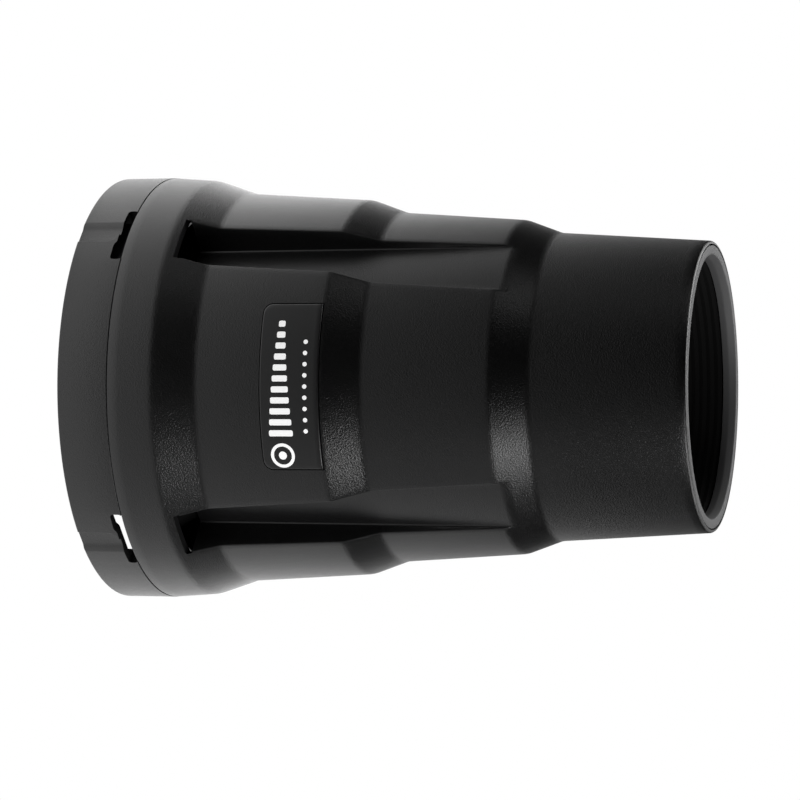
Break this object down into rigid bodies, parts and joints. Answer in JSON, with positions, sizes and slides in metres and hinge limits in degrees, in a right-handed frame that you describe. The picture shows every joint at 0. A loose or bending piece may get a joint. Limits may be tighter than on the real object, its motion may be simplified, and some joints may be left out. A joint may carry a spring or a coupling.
{
  "type": "light snoot",
  "caption": "Tapered black snoot with stepped panels and vented channels that snaps onto a round studio flash head and narrows its light to a spot.",
  "frame": {"origin": "centre of the collar's rear rim, in the plane that the snoot stands on", "axes": "+Z is the optical axis, from the flash head towards the nozzle; the badge faces -Y"},
  "size_m": [0.11, 0.11, 0.1552],
  "materials": {
    "moulded_plastic": "black moulded plastic with a fine spark-eroded grain",
    "badge_plastic": "satin black with plain white marks",
    "matt_black_tube": "dead matt black",
    "silicone": "black silicone",
    "spring_steel": "black-finished spring steel",
    "zinc_steel": "zinc-plated",
    "insert_brass": "plain turned brass"
  },
  "bodies": {
    "snoot_body": {"mount_collar": "moulded_plastic", "body_shell": "moulded_plastic", "front_ring": "moulded_plastic", "badge_plate": "badge_plastic", "light_tube": "matt_black_tube", "seat_gasket": "silicone", "claw_clamp_1": "spring_steel", "claw_clamp_2": "spring_steel", "claw_screw_1a": "zinc_steel", "claw_screw_1b": "zinc_steel", "claw_screw_2a": "zinc_steel", "claw_screw_2b": "zinc_steel", "collar_screw_1": "zinc_steel", "collar_screw_2": "zinc_steel", "collar_screw_3": "zinc_steel", "collar_screw_4": "zinc_steel", "boss_insert_1": "insert_brass", "boss_insert_2": "insert_brass", "boss_insert_3": "insert_brass", "boss_insert_4": "insert_brass"},
    "claw_1": {"spring_claw_1": "spring_steel"},
    "claw_2": {"spring_claw_2": "spring_steel"}
  },
  "joints": [
    {"name": "claw_1_flex", "type": "hinge", "parent": "snoot_body", "child": "claw_1", "pos_m": [0.0346, 0.0346, 0.01853], "axis": [0.7071, -0.7071, 0], "range_deg": [0, 5], "stiffness_Nm_per_rad": 0.3},
    {"name": "claw_2_flex", "type": "hinge", "parent": "snoot_body", "child": "claw_2", "pos_m": [-0.0346, -0.0346, 0.01853], "axis": [-0.7071, 0.7071, 0], "range_deg": [0, 5], "stiffness_Nm_per_rad": 0.3}
  ]
}
